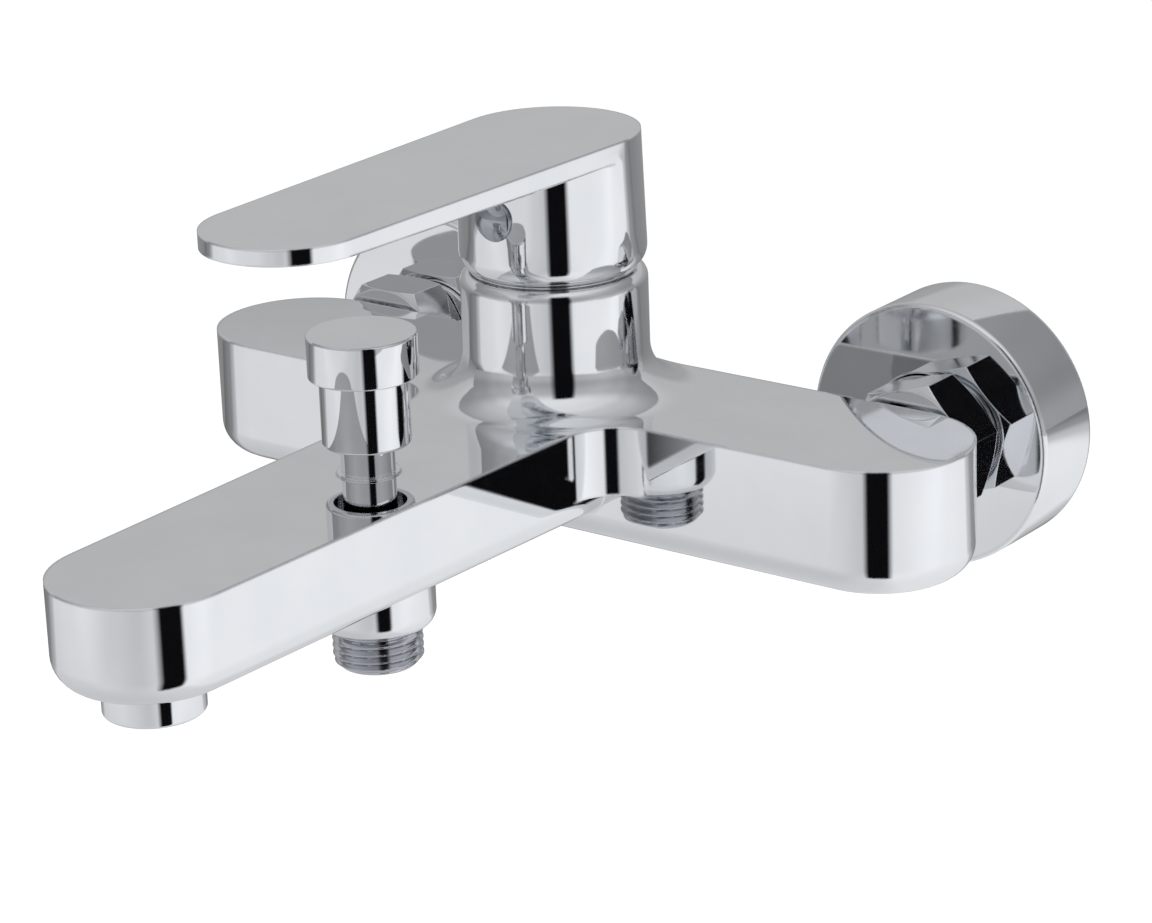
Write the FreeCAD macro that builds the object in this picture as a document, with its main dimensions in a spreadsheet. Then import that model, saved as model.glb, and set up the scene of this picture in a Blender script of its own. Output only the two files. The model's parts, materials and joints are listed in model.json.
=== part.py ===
import FreeCAD, Part
import math
import os
import re

from FreeCAD import Placement, Rotation, Vector
from Sketcher import Constraint

# Wall mounted bath faucet. Millimetres, +Z up, the wall is the plane Y = 0 and the
# faucet stands out of it towards -Y. The origin is midway between the two wall inlets.

DIMENSIONS = {
    "inlet_spacing": (150, "between the axes of the two wall inlets"),
    "wall_to_bar": (59.8, "wall to the axis of the bar"),
    "bar_overhang": (11.4, "wall inlet to the centre of each rounded end of the bar"),
    "bar_radius": (22.2, "half the depth of the bar"),
    "bar_top": (12.6, "height of the flat top over the wall inlets"),
    "bar_height": (31.5, "height of the bar"),
    "bar_edge_radius": (7.5, "rounding of the bar's lower edge"),
    "wall_to_spout_end": (211.8, "wall to the centre of the spout's rounded end"),
    "spout_shoulder": (2.5, "spout's root on each side of the tower"),
    "spout_tip_radius": (21.4, "half the width of the spout at its end"),
    "spout_height": (23.8, "height of the spout"),
    "spout_edge_radius": (7, "rounding of the spout's lower edge"),
    "corner_radius": (13, "hollow corner between bar and spout"),
    "web_overlap": (3, "how far a corner web reaches into the bar and the spout"),
    "wall_to_tower": (67, "wall to the axis of the tower and its cartridge"),
    "tower_wall": (3.1, "wall of the tower around the retaining nut's thread"),
    "tower_top": (42.8, "height of the tower's rim"),
    "tower_flare": (11, "hollow rounding where the tower meets the top"),
    "rim_depth": (2, "how far the rims of the tower and the lever's cap draw in"),
    "tower_rim_height": (3, "height of the tower's rounded rim"),
    "tower_foot": (8, "how deep the tower's foot goes under the flat top"),
    "tower_back_trim": (12, "room cleared behind the bar's flat back"),
    "wall_to_diverter": (137.8, "wall to the axis of the diverter and the shower outlet"),
    "boss_radius": (13.8, "shower outlet boss under the spout"),
    "boss_bottom": (24.5, "how far the boss reaches below the wall inlets"),
    "boss_edge_radius": (4, "rounding of the boss"),
    "seat_bore": (5, "water passage through the diverter's two seats"),
    "upper_seat_bore": (5.6, "passage above the upper seat"),
    "seat_lip": (1.4, "thickness of the upper seat"),
    "seal_room": (0.7, "clearance around the diverter seal"),
    "spout_ceiling": (4, "wall over the chamber at the spout's end"),
    "spout_end_bore": (6, "chamber over the aerator"),
    "water_radius": (4.5, "drilled waterways"),
    "port_radius": (3, "ports between waterways and cartridge"),
    "port_offset": (6.5, "hot and cold port to the middle"),
    "mixed_offset": (8, "mixed water port to the cartridge axis"),
    "chamber_floor": (6, "height of the floor of the cartridge chamber"),
    "cartridge_radius": (17.5, "outside of the cartridge, a nominal 35 mm size"),
    "cartridge_gap": (0.15, "clearance around the cartridge and its square spindle"),
    "nut_step": (1.8, "retaining nut's thread outside the cartridge"),
    "nut_seat": (32, "height of the step that the retaining nut's thread ends at"),
    "inlet_offset": (4.5, "mixer inlet outboard of its wall inlet"),
    "inlet_rise": (1, "mixer inlet above its wall inlet"),
    "nipple_radius": (9.4, "outside of the inlet nipples"),
    "nipple_bore": (7, "bore of the inlet nipples"),
    "nipple_collar_radius": (11.6, "collar that the union nut pulls on"),
    "collar_thickness": (2, "collar that the union nut pulls on"),
    "washer_inset": (0.2, "union washer inside the collar's edge"),
    "washer_bore_gap": (0.4, "union washer's hole over the nipple's bore"),
    "nipple_depth": (9, "length of nipple screwed into the bar"),
    "union_gap": (1.6, "union nut to the back of the bar"),
    "union_length": (13.6, "length of the union nut"),
    "union_flats": (30, "across the flats of the union nut"),
    "union_lip": (3.3, "lip of the union nut behind the collar"),
    "nut_chamfer": (2.4, "length of the chamfer on the nut's corners"),
    "chamfer_inset": (0.2, "how far the chamfer cuts into the flats"),
    "chamfer_reach": (4, "how far the chamfering cone reaches outside the flats"),
    "union_thread_radius": (13.22, "G 3/4 thread"),
    "washer_thickness": (1.8, "union washer"),
    "shank_radius": (15, "round shank of the eccentric union"),
    "union_bore": (6.5, "bore of the eccentric union"),
    "union_cup": (9, "bore of its wider end"),
    "union_cup_depth": (4, "depth of that bore behind the flange's front"),
    "wall_thread_radius": (10.478, "G 1/2 thread"),
    "wall_thread_length": (14.51, "thread that goes into the wall"),
    "thread_pitch": (1.814, "pitch of G 1/2 and G 3/4"),
    "thread_depth": (1.16, "depth of G 1/2 and G 3/4"),
    "flange_radius": (32.4, "wall flange"),
    "flange_depth": (20.8, "how far the wall flange stands out"),
    "flange_wall": (1.6, "wall of the flange"),
    "flange_edge_radius": (1.2, "rounding of the flange's front edge"),
    "hub_depth": (8, "depth of the flange's inner collar"),
    "ring_setback": (4.5, "flange's front face to its O-ring"),
    "ring_section": (1.5, "section of the flange O-rings"),
    "lever_gap": (0.8, "lever's cap to the tower's rim"),
    "lever_rim_height": (4.5, "height of the cap's rounded rim"),
    "lever_wall": (2.5, "wall of the lever's cap"),
    "lever_height": (32.4, "height of the lever over the lower edge of its cap"),
    "cap_draft": (0.7, "how far the lever's cap draws in towards its top"),
    "lever_tip_radius": (19.2, "rounded tip of the lever"),
    "lever_reach": (93.6, "cartridge axis to the centre of the lever's tip"),
    "lever_root_thickness": (4.8, "lever plate at the cap"),
    "lever_tip_thickness": (3.8, "lever plate at the tip"),
    "lever_ceiling": (5, "material over the cap's cavity"),
    "lever_boss_radius": (8, "boss around the cartridge spindle"),
    "lever_boss_height": (10.4, "height of the boss over the lower edge of the cap"),
    "rear_relief": (4.2, "how far the cap's rear rim is cut back to let it tilt"),
    "relief_start": (3, "where that cut starts, in front of the cartridge's axis"),
    "pivot_rise": (6.45, "spindle's pivot pin over the guide's lower end"),
    "spindle_width": (8, "across the square spindle"),
    "spindle_cover": (7, "lever's top over the spindle's end"),
    "pin_radius": (1.5, "spindle pivot pin"),
    "ball_radius": (2.6, "ball at the spindle's lower end"),
    "ball_neck_radius": (1.9, "spindle just above its ball"),
    "ball_floor": (1.2, "carrier under the spindle's ball"),
    "spindle_foot": (3.4, "square of the spindle below its pivot"),
    "disc_radius": (14.2, "fixed ceramic disc"),
    "disc_thickness": (3, "each ceramic disc"),
    "moving_disc_radius": (10.6, "moving ceramic disc"),
    "channel_radius": (2.6, "half the width of the moving disc's channel"),
    "channel_reach": (3, "each end of the channel to the axis"),
    "housing_base": (3, "base of the cartridge housing"),
    "housing_bore": (15, "bore of the cartridge housing"),
    "port_seal_width": (0.9, "wall of each port seal"),
    "port_seal_height": (1.1, "height of each port seal"),
    "port_seal_gap": (0.1, "clearance about the port seals"),
    "guide_neck_radius": (13.2, "neck of the turning guide"),
    "carrier_height": (5, "carrier of the moving disc"),
    "slot_front": (7.6, "slot for the spindle in front of the axis"),
    "slot_back": (11, "slot for the spindle behind the axis"),
    "nut_height": (9, "retaining nut"),
    "shroud_wall": (1, "wall of the domed shroud"),
    "shroud_rise": (4.2, "shroud over the tower's rim"),
    "plug_radius": (5.1, "indicator plug's dome"),
    "plug_above_rim": (15.7, "indicator plug over the lower edge of the cap"),
    "plug_rise": (1.9, "how far the dome stands out"),
    "plug_neck": (0.6, "plug's neck inside its dome's edge"),
    "screw_length": (5.9, "length of the set screw"),
    "socket_radius": (1.2, "socket in the set screw"),
    "socket_depth": (2.5, "depth of the socket"),
    "set_screw_radius": (2.5, "M5 set screw"),
    "knob_radius": (12.6, "head of the diverter knob"),
    "knob_skirt_radius": (10.2, "skirt of the diverter knob"),
    "knob_top": (45.6, "height of the knob's top"),
    "knob_head": (10, "height of the knob's head"),
    "knob_bottom": (19.6, "height of the knob's lower edge"),
    "knob_wall": (1.8, "wall of the knob's skirt"),
    "knob_web": (3, "web of the knob under its head"),
    "knob_edge_radius": (0.5, "rounding of the head"),
    "skirt_edge_radius": (0.8, "rounding of the skirt's lower edge"),
    "bonnet_radius": (7.2, "screwed foot of the diverter bonnet"),
    "bonnet_neck_radius": (6.2, "neck of the diverter bonnet"),
    "bonnet_neck_top": (30, "height of the neck's upper end"),
    "bonnet_foot": (3.4, "how far the foot goes into the spout"),
    "bonnet_flange": (0.5, "height of the bonnet's rim over the spout"),
    "bonnet_edge_radius": (0.6, "rounding of the neck's upper edge"),
    "bonnet_groove_depth": (1.2, "groove for the bonnet's O-ring"),
    "bonnet_groove_width": (1.3, "groove for the bonnet's O-ring"),
    "bonnet_groove_height": (1, "bonnet's lower end to the groove"),
    "bonnet_ring_section": (0.57, "radius of the bonnet O-ring's section"),
    "rod_radius": (2, "diverter rod"),
    "rod_tail_radius": (1.4, "lower end of the rod, through the seal"),
    "rod_tail": (3, "rod below the lower seat"),
    "rod_socket": (5, "top of the knob to the end of the rod's socket"),
    "rod_socket_gap": (0.1, "end clearance of the rod"),
    "spring_pocket": (4, "bore for the spring in the bonnet"),
    "spring_radius": (3.3, "mean radius of the diverter spring"),
    "spring_wire": (0.35, "radius of the spring's wire"),
    "spring_pitch": (3.2, "pitch of the diverter spring"),
    "spring_room": (7.8, "depth of the spring's bore in the bonnet"),
    "rod_collar_height": (1.8, "collar under the spring"),
    "rod_collar_overhang": (0.3, "collar outside the spring's middle radius"),
    "diverter_travel": (7, "lift of the diverter knob"),
    "lower_seat": (-6.1, "height of the seat over the shower outlet"),
    "seal_radius": (6.9, "diverter seal"),
    "seal_thickness": (2.4, "diverter seal"),
    "seal_nut_radius": (2.8, "nut that holds the seal"),
    "seal_nut_height": (1.9, "lower seat to the nut's lower end"),
    "outlet_length": (9.1, "thread that stands out of the boss"),
    "outlet_screwed": (9, "length of the outlet nipple inside the boss"),
    "outlet_bore": (7.5, "bore of the outlet nipple"),
    "aerator_radius": (11.35, "aerator housing"),
    "aerator_proud": (7.7, "how far the aerator stands out of the spout"),
    "aerator_inside": (7, "how far the aerator goes into the spout"),
    "aerator_wall": (1.5, "wall of the aerator housing"),
    "aerator_lip": (0.8, "lip that holds the insert"),
    "aerator_lip_height": (1.2, "thickness of the lip"),
    "aerator_edge_radius": (0.8, "rounding of the housing's lower edge"),
    "insert_wall": (1.6, "wall of the aerator insert"),
    "insert_floor": (2.2, "thickness of the insert's grid"),
    "jet_radius": (0.7, "holes of the grid"),
    "aerator_washer_height": (1.5, "washer over the aerator"),
    "thread_gap": (0.05, "clearance of screwed and running fits"),
    "stack_gap": (0.1, "clearance between pieces stacked in a bore"),
    "free_gap": (0.3, "clearance between pieces that move past each other"),
}


def words(text):
    """The expression with each name pointed at its cell in the sheet."""
    return re.sub(r"[a-z][a-z_]+", lambda m: "Sizes." + m[0] if m[0] in DIMENSIONS else m[0], text)


doc = FreeCAD.newDocument("bath_faucet")
sheet = doc.addObject("Spreadsheet::Sheet", "Sizes")
for row, (alias, (size, meaning)) in enumerate(DIMENSIONS.items(), start=1):
    sheet.set(f"A{row}", meaning)
    sheet.set(f"B{row}", str(size))
    sheet.setAlias(f"B{row}", alias)
doc.recompute()

# Heights and places that follow from the sizes, as expressions.
BAR_BOTTOM = "(bar_top - bar_height)"
BAR_FRONT = "(wall_to_bar + bar_radius)"
BAR_BACK = "(wall_to_bar - bar_radius)"
SPOUT_BOTTOM = "(bar_top - spout_height)"
INLET_X = "(inlet_spacing / 2 + inlet_offset)"
BAR_END = "(inlet_spacing / 2 + bar_overhang)"
NUT_THREAD = "(cartridge_radius + nut_step)"
TOWER_RADIUS = f"({NUT_THREAD} + tower_wall)"
SPOUT_ROOT = f"({TOWER_RADIUS} + spout_shoulder)"
CAP_TOP_RADIUS = f"({TOWER_RADIUS} - cap_draft)"
CAP_BOTTOM = "(tower_top + lever_gap)"
CAVITY_RADIUS = f"({TOWER_RADIUS} - lever_wall)"
LEVER_TOP = f"({CAP_BOTTOM} + lever_height)"
LEVER_BOSS = f"({CAP_BOTTOM} + lever_boss_height)"
PLUG_HEIGHT = f"({CAP_BOTTOM} + plug_above_rim)"
SPINDLE_TOP = f"({LEVER_TOP} - spindle_cover)"
SHROUD_TOP = "(tower_top + shroud_rise)"
CAVITY_TOP = f"({LEVER_TOP} - lever_ceiling)"
UNION_FRONT = "(wall_to_bar - bar_radius - union_gap)"
UNION_BACK = f"({UNION_FRONT} - union_length)"
COLLAR_FRONT = f"({UNION_FRONT} - union_lip - thread_gap)"
COLLAR_BACK = f"({COLLAR_FRONT} - collar_thickness)"
WASHER_BACK = f"({COLLAR_BACK} - washer_thickness)"
BORE_FLOOR = "(chamber_floor + stack_gap)"
HOUSING_TOP = "(nut_seat - stack_gap)"
FIXED_DISC = f"({BORE_FLOOR} + housing_base + thread_gap)"
MOVING_DISC = f"({FIXED_DISC} + disc_thickness + thread_gap)"
CARRIER = f"({MOVING_DISC} + disc_thickness + thread_gap)"
BALL_HEIGHT = f"({CARRIER} + ball_floor + ball_radius)"
GUIDE_BOTTOM = f"({CARRIER} + carrier_height + free_gap)"
PIVOT_HEIGHT = f"({GUIDE_BOTTOM} + pivot_rise)"
NUT_BOTTOM = "(nut_seat + thread_gap)"
NUT_TOP = f"({NUT_BOTTOM} + nut_height)"
SEAL_BOTTOM = "(lower_seat + stack_gap)"
SEAL_TOP = f"({SEAL_BOTTOM} + seal_thickness)"
UPPER_SEAT = f"({SEAL_TOP} + diverter_travel + stack_gap)"
BONNET_BOTTOM = "(bar_top - bonnet_foot)"
SPRING_TOP = f"({BONNET_BOTTOM} + spring_room)"
SPRING_BOTTOM = f"({SEAL_TOP} + rod_collar_height)"
AERATOR_BOTTOM = f"({SPOUT_BOTTOM} - aerator_proud)"
AERATOR_TOP = f"({SPOUT_BOTTOM} + aerator_inside)"
GRID_BOTTOM = f"({AERATOR_BOTTOM} + aerator_lip_height + stack_gap)"
RING_HEIGHT = "(flange_depth - ring_setback)"


def number(text):
    """The present value of an expression."""
    return float(sheet.evalExpression(words(str(text))))


def bind(thing, prop, text):
    thing.setExpression(prop, words(str(text)))


def new_body(label, x="0", y="0", z="0", out_of_wall=False):
    """A body whose own Z points up, or out of the wall."""
    body = doc.addObject("PartDesign::Body", label)
    body.Label = label
    if out_of_wall:
        body.Placement = Placement(Vector(), Rotation(Vector(1, 0, 0), 90))
    for axis, text in zip("xyz", (x, y, z)):
        bind(body, f".Placement.Base.{axis}", text)
    return body


def new_sketch(body, plane, offset="0"):
    """A sketch on one of the body's origin planes, moved along the plane's normal."""
    sketch = body.newObject("Sketcher::SketchObject", body.Label + "_outline")
    origin = next(f for f in body.Origin.OriginFeatures if f.Role == plane + "_Plane")
    sketch.AttachmentSupport = [(origin, "")]
    sketch.MapMode = "FlatFace"
    bind(sketch, ".AttachmentOffset.Base.z", offset)
    return sketch


def pin_down(sketch, geometry, end, x, y):
    """Hold one point of a curve at x, y."""
    for kind, axis, text in (("DistanceX", -2, x), ("DistanceY", -1, y)):
        if str(text) == "0":
            sketch.addConstraint(Constraint("PointOnObject", geometry, end, axis))
        else:
            row = sketch.addConstraint(Constraint(kind, -1, 1, geometry, end, number(text)))
            bind(sketch, f"Constraints[{row}]", text)


def set_radius(sketch, geometry, text):
    row = sketch.addConstraint(Constraint("Radius", geometry, number(text)))
    bind(sketch, f"Constraints[{row}]", text)


def draw_circle(sketch, x, y, radius):
    centre = Vector(number(x), number(y), 0)
    ring = sketch.addGeometry(Part.Circle(centre, Vector(0, 0, 1), number(radius)))
    pin_down(sketch, ring, 3, x, y)
    set_radius(sketch, ring, radius)


def draw_outline(sketch, points):
    """A closed outline. A point is (x, y), or (x, y, radius, side) where an arc of that
    radius reaches it, with side 1 if the arc turns left on its way and -1 if right."""
    places = [Vector(number(p[0]), number(p[1]), 0) for p in points]
    pieces = []
    for i, point in enumerate(points):
        start, end = places[i - 1], places[i]
        if len(point) == 2:
            pieces.append((sketch.addGeometry(Part.LineSegment(start, end)), 1, 2))
            continue
        radius, side = number(point[2]), point[3]
        half = (end - start) / 2
        left = Vector(-half.y, half.x, 0).normalize()
        height = math.sqrt(max(radius**2 - half.Length**2, 0))
        centre = start + half + left * side * height
        first, last = (start, end) if side > 0 else (end, start)
        angles = [math.atan2(v.y - centre.y, v.x - centre.x) for v in (first, last)]
        circle = Part.Circle(centre, Vector(0, 0, 1), radius)
        arc = sketch.addGeometry(Part.ArcOfCircle(circle, *angles))
        pieces.append((arc, 1, 2) if side > 0 else (arc, 2, 1))
        set_radius(sketch, arc, point[2])
    for i, (piece, _, end) in enumerate(pieces):
        following, start, _ = pieces[(i + 1) % len(pieces)]
        sketch.addConstraint(Constraint("Coincident", piece, end, following, start))
        pin_down(sketch, piece, end, points[i][0], points[i][1])


def draw_capsule(sketch, first, second):
    """The outline around two circles (x, y, radius): two arcs and two tangent lines."""
    (x0, y0, r0), (x1, y1, r1) = [[number(v) for v in circle] for circle in (first, second)]
    along = math.atan2(y1 - y0, x1 - x0)
    lean = math.acos((r0 - r1) / math.hypot(x1 - x0, y1 - y0))
    right, left = along - lean, along + lean
    ends = []
    for x, y, r, start, end in ((x0, y0, r0, left, right + 2 * math.pi), (x1, y1, r1, right, left)):
        circle = Part.Circle(Vector(x, y, 0), Vector(0, 0, 1), r)
        ends.append(sketch.addGeometry(Part.ArcOfCircle(circle, start, end)))
    for angle, start, end in ((right, (ends[0], 2), (ends[1], 1)), (left, (ends[0], 1), (ends[1], 2))):
        turn = Vector(math.cos(angle), math.sin(angle), 0)
        line = Part.LineSegment(Vector(x0, y0, 0) + turn * r0, Vector(x1, y1, 0) + turn * r1)
        side = sketch.addGeometry(line)
        sketch.addConstraint(Constraint("Tangent", side, 1, *start))
        sketch.addConstraint(Constraint("Tangent", side, 2, *end))
    for arc, (x, y, radius) in zip(ends, (first, second)):
        pin_down(sketch, arc, 3, x, y)
        set_radius(sketch, arc, radius)


def finish_feature(body, feature):
    """Compute the feature, and be sure that it changed the body's volume."""
    before = body.Shape.Volume if not body.Shape.isNull() else 0.0
    doc.recompute()
    if abs(body.Shape.Volume - before) < 1e-3:
        raise RuntimeError(f"{body.Label}: {feature.Label} changed nothing")
    if not feature.Shape.isValid():
        raise RuntimeError(f"{body.Label}: {feature.Label} is not a valid solid")
    return feature


def turn(body, sketch, kind="PartDesign::Revolution"):
    """Turn a sketch on the XZ plane about the upright axis: add it, or cut it as a groove."""
    feature = body.newObject(kind, body.Label + "_turn")
    feature.Profile = sketch
    feature.ReferenceAxis = (sketch, ["V_Axis"])
    feature.Angle = 360
    return finish_feature(body, feature)


def extrude(body, sketch, length, kind="PartDesign::Pad", reverse=False, both_ways=False):
    feature = body.newObject(kind, body.Label + "_extrude")
    feature.Profile = sketch
    bind(feature, "Length", length)
    feature.Reversed = reverse
    feature.Midplane = both_ways
    return finish_feature(body, feature)


def round_edges(body, radius, wanted, kind="PartDesign::Fillet", prop="Radius"):
    """Round or chamfer the edges of the body that wanted(edge) picks."""
    base = body.Tip
    names = [f"Edge{i}" for i, edge in enumerate(base.Shape.Edges, start=1) if wanted(edge)]
    if not names:
        raise RuntimeError(f"{body.Label}: no edge to round")
    feature = body.newObject(kind, body.Label + "_edge")
    feature.Base = (base, names)
    bind(feature, prop, radius)
    return finish_feature(body, feature)


def level(height):
    """Picks edges that lie wholly at this height of the body."""
    z = number(height)
    return lambda edge: abs(edge.BoundBox.ZMin - z) < 1e-4 and abs(edge.BoundBox.ZMax - z) < 1e-4


def ring_at(radius, height):
    """Picks circular edges about the body's axis."""
    r, at_height = number(radius), level(height)
    return lambda edge: at_height(edge) and abs(edge.BoundBox.XMax - r) < 1e-3


def turned_body(label, points, x="0", y="0", z="0", out_of_wall=False, edges=()):
    """A turned piece. points are (radius, height); edges are (radius, height, rounding)."""
    body = new_body(label, x, y, z, out_of_wall)
    sketch = new_sketch(body, "XZ")
    draw_outline(sketch, points)
    turn(body, sketch)
    for radius, height, rounding in edges:
        round_edges(body, rounding, ring_at(radius, height))
    return body


def tube(outer, inner, low, high):
    return [(inner, low), (outer, low), (outer, high), (inner, high)]


def thread_points(radius, low, turns):
    """The zigzag side of a thread, upwards from height low."""
    points = []
    root = f"({radius} - thread_depth)"
    for i in range(turns):
        for share, reach in ((0.0, radius), (0.25, radius), (0.55, root), (0.7, root)):
            points.append((reach, f"{low} + thread_pitch * {i + share:.2f}"))
    points.append((radius, f"{low} + thread_pitch * {turns}"))
    return points


# ---------------------------------------------------------------- cast body

def spout_side(out):
    """Half the width of the spout at this distance from the wall."""
    slope = f"({SPOUT_ROOT} - spout_tip_radius) / (wall_to_spout_end - wall_to_tower)"
    return f"({SPOUT_ROOT} - ({out} - wall_to_tower) * {slope})"


def add_corner_web(body, side):
    """The hollow corner between the bar's front and one side of the spout."""
    corner_out = f"({BAR_FRONT} + corner_radius)"
    edge = spout_side(corner_out)
    sketch = new_sketch(body, "XY", f"{SPOUT_BOTTOM} + spout_edge_radius")
    points = [
        (f"{side} * ({edge} + corner_radius)", f"-{BAR_FRONT}"),
        (f"{side} * {edge}", f"-{corner_out}", "corner_radius", side),
        (f"{side} * ({edge} - web_overlap)", f"-{corner_out}"),
        (f"{side} * ({edge} - web_overlap)", f"-{BAR_FRONT} + web_overlap"),
        (f"{side} * ({edge} + corner_radius)", f"-{BAR_FRONT} + web_overlap"),
    ]
    draw_outline(sketch, points)
    extrude(body, sketch, "spout_height - spout_edge_radius")


def add_tower(body):
    """The tower: a flare out of the flat top, a straight side and a rounded rim."""
    sketch = new_sketch(body, "XZ", "wall_to_tower")
    rim_arc = "((rim_depth * rim_depth + tower_rim_height * tower_rim_height) / (2 * rim_depth))"
    draw_outline(sketch, [
        ("0", "bar_top - tower_foot"),
        (f"{TOWER_RADIUS} + tower_flare", "bar_top - tower_foot"),
        (f"{TOWER_RADIUS} + tower_flare", "bar_top"),
        (TOWER_RADIUS, "bar_top + tower_flare", "tower_flare", -1),
        (TOWER_RADIUS, "tower_top - tower_rim_height"),
        (f"{TOWER_RADIUS} - rim_depth", "tower_top", rim_arc, 1),
        ("0", "tower_top"),
    ])
    turn(body, sketch)
    trim = new_sketch(body, "XY", "bar_top - tower_foot - 1")
    reach = f"({TOWER_RADIUS} + tower_flare + 2)"
    draw_outline(trim, [
        (f"-{reach}", f"-{BAR_BACK}"),
        (reach, f"-{BAR_BACK}"),
        (reach, f"-{BAR_BACK} + tower_back_trim"),
        (f"-{reach}", f"-{BAR_BACK} + tower_back_trim"),
    ])
    extrude(body, trim, "tower_foot + tower_flare + 1", "PartDesign::Pocket", reverse=True)


def cut_round(body, plane, offset, x, y, radius, length, reverse=False):
    sketch = new_sketch(body, plane, offset)
    draw_circle(sketch, x, y, radius)
    extrude(body, sketch, length, "PartDesign::Pocket", reverse=reverse)


def cut_turned(body, out, points):
    sketch = new_sketch(body, "XZ", out)
    draw_outline(sketch, points)
    turn(body, sketch, "PartDesign::Groove")


def cut_waterways(body):
    bar_line = "-wall_to_bar"
    for side in (-1, 1):
        inlet = f"{side} * {INLET_X}"
        cut_round(body, "XZ", BAR_BACK, inlet, "inlet_rise", "nipple_radius + thread_gap",
                  "nipple_depth", reverse=True)
        cut_round(body, "XZ", BAR_BACK, inlet, "inlet_rise", "nipple_bore",
                  "bar_radius + water_radius + 1", reverse=True)
        start = "(port_offset - port_radius - web_overlap / 4)"
        if side > 0:
            cut_round(body, "YZ", start, bar_line, "0", "water_radius", f"{INLET_X} - {start}", True)
        else:
            cut_round(body, "YZ", f"-({start})", bar_line, "0", "water_radius", f"{INLET_X} - {start}")
        cut_round(body, "XY", "chamber_floor + 1", f"{side} * port_offset", bar_line,
                  "port_radius", "chamber_floor + 1")
    mixed_out = "wall_to_tower + mixed_offset"
    cut_round(body, "XY", "chamber_floor + 1", "0", f"-({mixed_out})", "port_radius + 0.5", "chamber_floor + 1")
    to_diverter = f"wall_to_diverter - ({mixed_out}) + port_radius"
    cut_round(body, "XZ", f"{mixed_out} - port_radius", "0", "0", "water_radius", to_diverter, True)
    cut_round(body, "XZ", "wall_to_diverter", "0", f"({UPPER_SEAT} + {BONNET_BOTTOM} + seat_lip) / 2",
              "port_radius - 0.4", "wall_to_spout_end - wall_to_diverter", True)


def make_faucet_body():
    body = new_body("faucet_body")
    bar = new_sketch(body, "XY", BAR_BOTTOM)
    ends = [(f"{side} * {BAR_END}", "-wall_to_bar", "bar_radius") for side in (-1, 1)]
    draw_capsule(bar, *ends)
    extrude(body, bar, "bar_height")
    round_edges(body, "bar_edge_radius", level(BAR_BOTTOM))

    spout = new_sketch(body, "XY", SPOUT_BOTTOM)
    draw_capsule(spout, ("0", "-wall_to_tower", SPOUT_ROOT),
                 ("0", "-wall_to_spout_end", "spout_tip_radius"))
    extrude(body, spout, "spout_height")
    free_of_bar = -number(BAR_FRONT) - 0.1
    low = level(SPOUT_BOTTOM)
    round_edges(body, "spout_edge_radius", lambda edge: low(edge) and edge.BoundBox.YMin < free_of_bar)
    for side in (-1, 1):
        add_corner_web(body, side)
    add_tower(body)

    boss = new_sketch(body, "XY", "-boss_bottom")
    draw_circle(boss, "0", "-wall_to_diverter", "boss_radius")
    extrude(body, boss, f"boss_bottom + {SPOUT_BOTTOM} + 1")
    round_edges(body, "boss_edge_radius", level("-boss_bottom"))

    cut_waterways(body)
    cut_turned(body, "wall_to_tower", [
        ("0", "chamber_floor"),
        ("cartridge_radius + cartridge_gap", "chamber_floor"),
        ("cartridge_radius + cartridge_gap", "nut_seat"),
        (f"{NUT_THREAD} + thread_gap", "nut_seat"),
        (f"{NUT_THREAD} + thread_gap", "tower_top + 1"),
        ("0", "tower_top + 1"),
    ])
    cut_turned(body, "wall_to_diverter", [
        ("0", "-boss_bottom - 1"),
        ("wall_thread_radius - thread_depth + thread_gap", "-boss_bottom - 1"),
        ("wall_thread_radius - thread_depth + thread_gap", "-boss_bottom + outlet_screwed + stack_gap"),
        ("seat_bore", "-boss_bottom + outlet_screwed + stack_gap"),
        ("seat_bore", "lower_seat"),
        ("seal_radius + seal_room", "lower_seat"),
        ("seal_radius + seal_room", UPPER_SEAT),
        ("upper_seat_bore", UPPER_SEAT),
        ("upper_seat_bore", f"{UPPER_SEAT} + seat_lip"),
        ("bonnet_radius + thread_gap", f"{UPPER_SEAT} + seat_lip"),
        ("bonnet_radius + thread_gap", "bar_top + 1"),
        ("0", "bar_top + 1"),
    ])
    cut_turned(body, "wall_to_spout_end", [
        ("0", f"{SPOUT_BOTTOM} - 1"),
        ("aerator_radius + thread_gap", f"{SPOUT_BOTTOM} - 1"),
        ("aerator_radius + thread_gap", f"{AERATOR_TOP} + aerator_washer_height + stack_gap"),
        ("spout_end_bore", f"{AERATOR_TOP} + aerator_washer_height + stack_gap"),
        ("spout_end_bore", "bar_top - spout_ceiling"),
        ("0", "bar_top - spout_ceiling"),
    ])
    return body


# ---------------------------------------------------------------- wall unions

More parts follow.
